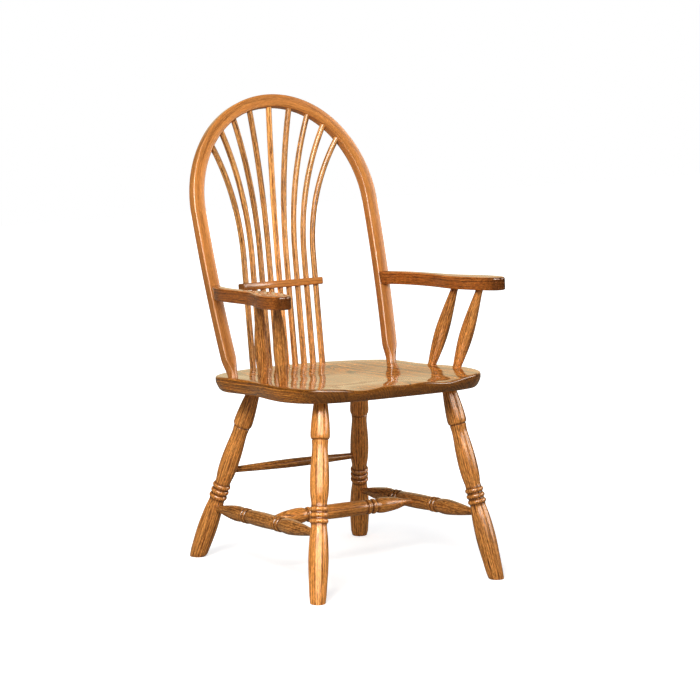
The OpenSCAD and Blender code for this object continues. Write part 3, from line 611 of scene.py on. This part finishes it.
class Nodes:
    """Short way to add shader nodes to a new material or world."""

    def __init__(self, owner, shader="Principled BSDF"):
        owner.use_nodes = True
        self.owner = owner
        self.tree = owner.node_tree
        self.shader = self.tree.nodes[shader]

    def const(self, **values):
        """Constants on the shader's own sockets, with _ for a space in their names."""
        for key, value in values.items():
            self.shader.inputs[key.replace("_", " ")].default_value = value

    def add(self, kind, settings=None, **inputs):
        node = self.tree.nodes.new("ShaderNode" + kind)
        for key, value in (settings or {}).items():
            setattr(node, key, value)
        for key, value in inputs.items():
            self.put(node, int(key[1:]) if key[0] == "i" and key[1:].isdigit() else key, value)
        return node

    def put(self, node, key, value):
        socket = node.inputs[key]
        if isinstance(value, bpy.types.Node):
            value = value.outputs[0]
        if isinstance(value, bpy.types.NodeSocket):
            self.tree.links.new(value, socket)
        else:
            socket.default_value = value

    def math(self, operation, a, b=0.0, c=0.0):
        return self.add("Math", {"operation": operation}, i0=a, i1=b, i2=c)

    def vector(self, operation, a, b=(0, 0, 0)):
        return self.add("VectorMath", {"operation": operation}, i0=a, i1=b)

    def ramp(self, value, *stops):
        node = self.add("ValToRGB", None, Fac=value)
        band = node.color_ramp.elements
        while len(band) < len(stops):
            band.new(0.5)
        for slot, (at, colour) in zip(band, stops):
            slot.position = at
            slot.color = (*colour, 1)
        return node

    def noise(self, vector, scale, detail=2.0, rough=0.5):
        moved = self.vector("MULTIPLY", vector, scale)
        return self.add("TexNoise", None, Vector=moved.outputs[0], Scale=1.0, Detail=detail,
                        Roughness=rough)

    def rise(self, value, low, high, bottom=0.0, top=1.0):
        """Smooth step from bottom to top while the value goes from low to high."""
        return self.add("MapRange", {"interpolation_type": "SMOOTHSTEP"}, **{
            "Value": value, "From Min": low, "From Max": high, "To Min": bottom, "To Max": top})

    def mix(self, factor, a, b, blend="MIX"):
        node = self.add("Mix", {"data_type": "RGBA", "blend_type": blend})
        for key, value in ((0, factor), (6, a), (7, b)):
            self.put(node, key, value)
        return node.outputs[2]

    def bright(self, colour, value):
        """Colour times a value."""
        grey = self.add("CombineColor", None, Red=value, Green=value, Blue=value)
        return self.mix(1.0, colour, grey, "MULTIPLY")


GREY = lambda v: (v, v, v)


def boards(n, grain, width, depth):
    """Grain coordinates cut into boards glued side by side, each from its own log."""
    at = n.add("SeparateXYZ", None, Vector=grain)
    turns = n.math("ADD", n.math("DIVIDE", at.outputs["X"], width), 0.37)
    board = n.math("FLOOR", turns)
    chance = n.add("TexWhiteNoise", {"noise_dimensions": "1D"}, W=board)
    parts = n.add("SeparateColor", None, Color=chance.outputs["Color"])
    across = n.math("SUBTRACT", n.math("FRACT", turns), parts.outputs[0])
    across = n.math("MULTIPLY", across, width)
    below = n.math("ADD", at.outputs["Y"], n.math("MULTIPLY_ADD", parts.outputs[1], depth, 0.03))
    along = n.math("MULTIPLY_ADD", chance.outputs["Value"], 7.0, at.outputs["Z"])
    moved = n.add("CombineXYZ", None, X=across, Y=below, Z=along)
    return moved.outputs[0], parts.outputs[2]


def oak(name, light, mid, dark, ring_width=0.0044, rings=0.4, gloss=0.2, open_grain=1.0,
        relief=0.25, dash=(330, 12), glued=None):
    """Lacquered oak, with growth rings about the log's heart, open pores and fine fibre.

    rings is how strongly the rings show, gloss the roughness of the lacquer, relief the depth of
    the bump, dash the fineness of the short dark lines across and along the wood, and glued the
    width of the boards and how far apart their logs lie.
    """
    n = Nodes(bpy.data.materials.new(name))
    grain = n.add("Attribute", {"attribute_name": "grain"}).outputs["Vector"]
    tone = n.add("Attribute", {"attribute_name": "tone"}).outputs["Fac"]
    painted_shade_and_stain = n.add("Attribute", {"attribute_name": "shade"}).outputs["Fac"]
    if glued:
        grain, chance = boards(n, grain, *glued)
        tone = n.math("MULTIPLY_ADD", chance, 1.6, -0.8)

    # Growth rings, wavy along the log
    wave, fine = (n.vector("SUBTRACT", n.noise(grain, scale).outputs["Color"], (0.5, 0.5, 0.5))
                  for scale in ((10, 10, 1.8), (70, 70, 8)))
    moved = n.vector("ADD", grain, n.vector("MULTIPLY", wave, (0.008, 0.008, 0)))
    moved = n.vector("ADD", moved, n.vector("MULTIPLY", fine, (0.0024, 0.0024, 0)))
    radius = n.vector("LENGTH", n.vector("MULTIPLY", moved, (1, 1, 0))).outputs["Value"]
    uneven = n.noise(n.add("CombineXYZ", None, X=radius).outputs[0], (170, 1, 1)).outputs["Fac"]
    turns = n.math("ADD", n.math("DIVIDE", radius, ring_width), n.math("MULTIPLY", uneven, 3.0))
    ring = n.math("FRACT", turns)
    early = n.ramp(ring, (0.0, GREY(0.3)), (0.07, GREY(1)), (0.24, GREY(0.75)), (0.42, GREY(0.18)),
                   (0.80, GREY(0.0)), (1.0, GREY(0.3)))

    # Pores, longer than wide and mostly in the early wood, then fibre, dashes and clouds
    pores = n.noise(grain, (1700, 1700, 60), 2.0, 0.6).outputs["Fac"]
    pores = n.ramp(pores, (0.47, GREY(0)), (0.60, GREY(1)))
    pores = n.math("MULTIPLY", pores, n.math("MULTIPLY_ADD", early, 0.85, 0.12))
    fibre = n.noise(grain, (620, 620, 18), 3.0, 0.65).outputs["Fac"]
    dashes = n.noise(grain, (dash[0], dash[0], dash[1]), 3.0, 0.6).outputs["Fac"]
    dashes = n.ramp(dashes, (0.52, GREY(0)), (0.59, GREY(1)))
    dashes = n.math("MULTIPLY", dashes, n.math("MULTIPLY_ADD", early, 0.4, 0.30))
    flecks = n.noise(grain, (520, 520, 110), 1.0, 0.5).outputs["Fac"]
    flecks = n.ramp(flecks, (0.42, GREY(0)), (0.60, GREY(1)))
    streak = n.noise(grain, (210, 210, 5), 2.0, 0.6).outputs["Fac"]
    cloud = n.noise(grain, (15, 15, 3), 2.0).outputs["Fac"]

    body = n.math("MULTIPLY_ADD", streak, 1.6, -0.35)
    colour = n.mix(body, linear(*light), linear(*mid))
    figure = n.math("MULTIPLY", early, n.math("MULTIPLY_ADD", painted_shade_and_stain, -0.7 * rings, rings))
    colour = n.mix(figure, colour, linear(*dark))
    colour = n.mix(n.math("MULTIPLY", pores, 0.8 * min(open_grain, 1)), colour,
                   linear(*[0.6 * c for c in dark]))
    colour = n.mix(n.math("MULTIPLY", dashes, open_grain), colour,
                   linear(*[0.7 * c for c in dark]))
    # The shade attribute darkens the colour: painted shade in grooves, on the posts and on the
    # tie, the bow's darker feet and the stain of sawn ends
    colour = n.mix(n.math("MULTIPLY", painted_shade_and_stain, 0.6), colour, linear(*dark))
    spread = n.math("MULTIPLY_ADD", fibre, 0.7, 0.65)
    spread = n.math("ADD", spread, n.math("MULTIPLY_ADD", cloud, 0.6, -0.30))
    flecked = n.math("MULTIPLY_ADD", flecks, 0.34 * open_grain, -0.17 * open_grain)
    spread = n.math("ADD", spread, flecked)
    spread = n.math("MULTIPLY_ADD", tone, 0.17, spread)
    # The same painted shade and stain also dim the brightness
    spread = n.math("MULTIPLY", spread, n.math("MULTIPLY_ADD", painted_shade_and_stain, -0.5, 1.0))
    n.put(n.shader, "Base Color", n.bright(colour, spread))

    n.put(n.shader, "Roughness", n.math("MULTIPLY_ADD", flecks, 0.20, 0.38))
    n.const(IOR=1.45, Specular_IOR_Level=0.08, Coat_Weight=1.0, Coat_IOR=1.45,
            Coat_Roughness=gloss)
    height = n.math("MULTIPLY_ADD", pores, -1.0, n.math("MULTIPLY", early, -0.35))
    n.put(n.shader, "Normal", n.add("Bump", None, Strength=relief, Distance=0.0003, Height=height))
    return n.owner


def steel():
    """Plain metal for the screws, which lie hidden under their plugs."""
    n = Nodes(bpy.data.materials.new("screw_steel"))
    n.const(Base_Color=linear(150, 152, 156), Roughness=0.35, Metallic=1.0)
    return n.owner


def dress():
    """Gives each piece its oak."""
    turned_oak = oak("oak_turned", (242, 170, 92), (208, 130, 58), (112, 54, 18), open_grain=1.3)
    bent_oak = oak("oak_bent", (214, 146, 78), (198, 124, 60), (124, 66, 24), 0.0030, 0.18,
                   0.12, 0.6)
    spindle_oak = oak("oak_spindle", (242, 184, 112), (202, 132, 68), (100, 48, 18), 0.0036, 0.5,
                      0.16, 1.4, dash=(420, 24))
    arm_oak = oak("oak_arm", (216, 132, 58), (184, 100, 38), (78, 40, 12), 0.0030, 0.7, 0.12,
                  1.2, 0.05)
    seat_oak = oak("oak_seat", (236, 156, 64), (182, 100, 34), (84, 48, 16), 0.0060, 1.0, 0.05,
                   1.2, 0.06, glued=(0.112, 0.09))
    screw_steel = steel()
    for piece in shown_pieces():
        name = piece.name
        wood = turned_oak
        if name.startswith(("bent", "spindle_band")):
            wood = bent_oak
        elif name.startswith("back_spindle"):
            wood = spindle_oak
        elif name.startswith("arm_rest"):
            wood = arm_oak
        elif name.startswith("seat"):
            wood = seat_oak
        elif name.startswith("arm_screw"):
            wood = screw_steel
        piece.data.materials.clear()
        piece.data.materials.append(wood)


# Studio

WARM = (1, 0.93, 0.82)
AMBIENT, CARD_RISE = 0.44, 0.12
BACK_TINT, FRONT_TINT = (1, 0.80, 0.48, 1), (1, 0.86, 0.74, 1)
# Bright areas of the world that only glossy rays see: towards, cosines at their edge and middle,
# lowest height and brightness
CARDS = [((0.53, 0.85, 0.13), 0.78, 0.97, -1.0, 0.88),
         ((-0.44, -0.83, 0.34), 0.72, 0.92, 0.13, 12.0),
         ((0.88, -0.42, 0.28), 0.87, 0.96, 0.08, 9.0)]
FLOOR_HALF, SHADOW_NEAR, SHADOW_FAR, SHADOW_GLOW = 6, 0.35, 1.0, 0.62
FLOOR_SEEN, FLOOR_UNSEEN = (0.77, 0.79, 0.82, 1), (0.30, 0.26, 0.20, 1)


def lamp(name, place, target, size, power):
    data = bpy.data.lights.new(name, "AREA")
    data.shape, data.size, data.energy, data.color = "DISK", size, power, WARM
    light = bpy.data.objects.new(name, data)
    light.location = place
    light.rotation_euler = (Vector(target) - Vector(place)).to_track_quat("-Z", "Y").to_euler()
    bpy.context.scene.collection.objects.link(light)


def floor_white():
    """Floor that keeps a soft shadow near the chair and turns plain white farther out.

    Only the camera sees it pale. Other rays see it dark and warm.
    """
    n = Nodes(bpy.data.materials.new("floor_white"))
    path = n.add("LightPath")
    place = n.add("TexCoord")
    far = n.vector("LENGTH", place.outputs["Object"]).outputs["Value"]
    fade = n.rise(far, SHADOW_NEAR, SHADOW_FAR, SHADOW_GLOW)
    glow = n.math("MULTIPLY", fade, path.outputs["Is Camera Ray"])
    n.put(n.shader, "Base Color", n.mix(path.outputs["Is Camera Ray"], FLOOR_UNSEEN, FLOOR_SEEN))
    n.const(Roughness=1.0, Specular_IOR_Level=0.0, Emission_Color=(1, 1, 1, 1))
    n.put(n.shader, "Emission Strength", glow)
    return n.owner


def world():
    """White to the camera, an even dim light to the wood, and cards to glossy rays."""
    n = Nodes(bpy.data.worlds.new("studio"), "Background")
    bpy.context.scene.world = n.owner
    path = n.add("LightPath")
    place = n.add("TexCoord").outputs["Generated"]
    at = n.add("SeparateXYZ", None, Vector=place)
    cards = 0.0
    for towards, edge, middle, low, bright in CARDS:
        side = n.vector("DOT_PRODUCT", place, Vector(towards).normalized()).outputs["Value"]
        cards = n.math("MULTIPLY_ADD", n.rise(side, edge, middle, top=bright),
                       n.rise(at.outputs["Z"], low, low + CARD_RISE), cards)
    glossy = path.outputs["Is Glossy Ray"]
    strength = n.add("Mix", None, Factor=glossy, A=AMBIENT, B=cards)
    for ray in ("Is Camera Ray", "Is Transmission Ray"):
        strength = n.math("MAXIMUM", strength, path.outputs[ray])
    n.put(n.shader, "Strength", strength)
    tint = n.mix(n.rise(at.outputs["Y"], 0.3, -0.3), BACK_TINT, FRONT_TINT)
    n.put(n.shader, "Color", n.mix(glossy, (1, 1, 1, 1), tint))


def studio():
    """Pale floor, the world about it, a key lamp at the camera's left and a weak strip lamp."""
    h = FLOOR_HALF
    mesh = bpy.data.meshes.new("floor")
    mesh.from_pydata([(-h, -h, 0), (h, -h, 0), (h, h, 0), (-h, h, 0)], [], [(0, 1, 2, 3)])
    floor = bpy.data.objects.new("floor", mesh)
    bpy.context.scene.collection.objects.link(floor)
    floor.data.materials.append(floor_white())
    world()
    lamp("key", (-2.6, -2.4, 3.0), (0, 0, 0.5), 1.6, 165)
    lamp("strip", (2.4, -2.8, 1.3), (0, 0, 0.5), 0.5, 9)


def camera():
    """The photograph's view: a long lens at the sitter's right, a little above the arms."""
    azimuth, elevation = math.radians(-31.8), math.radians(9.38)
    distance, target = 8.42, Vector((0, SEAT_Y * MM, 0.5))
    back = Vector((math.sin(azimuth) * math.cos(elevation),
                   -math.cos(azimuth) * math.cos(elevation), math.sin(elevation)))
    data = bpy.data.cameras.new("camera")
    data.sensor_width = 36
    data.lens = 188.4
    data.shift_x, data.shift_y = -0.0057, 0.0129
    data.clip_end = 100
    eye = bpy.data.objects.new("camera", data)
    eye.location = target + back * distance
    eye.rotation_euler = back.to_track_quat("Z", "Y").to_euler()
    bpy.context.scene.collection.objects.link(eye)
    bpy.context.scene.camera = eye
    bpy.context.scene.view_settings.view_transform = "Standard"


seat()
bow()
for number in range(-4, 5):
    spindle(number)
tie()
arms()
posts()
underframe()
dress()
studio()
camera()
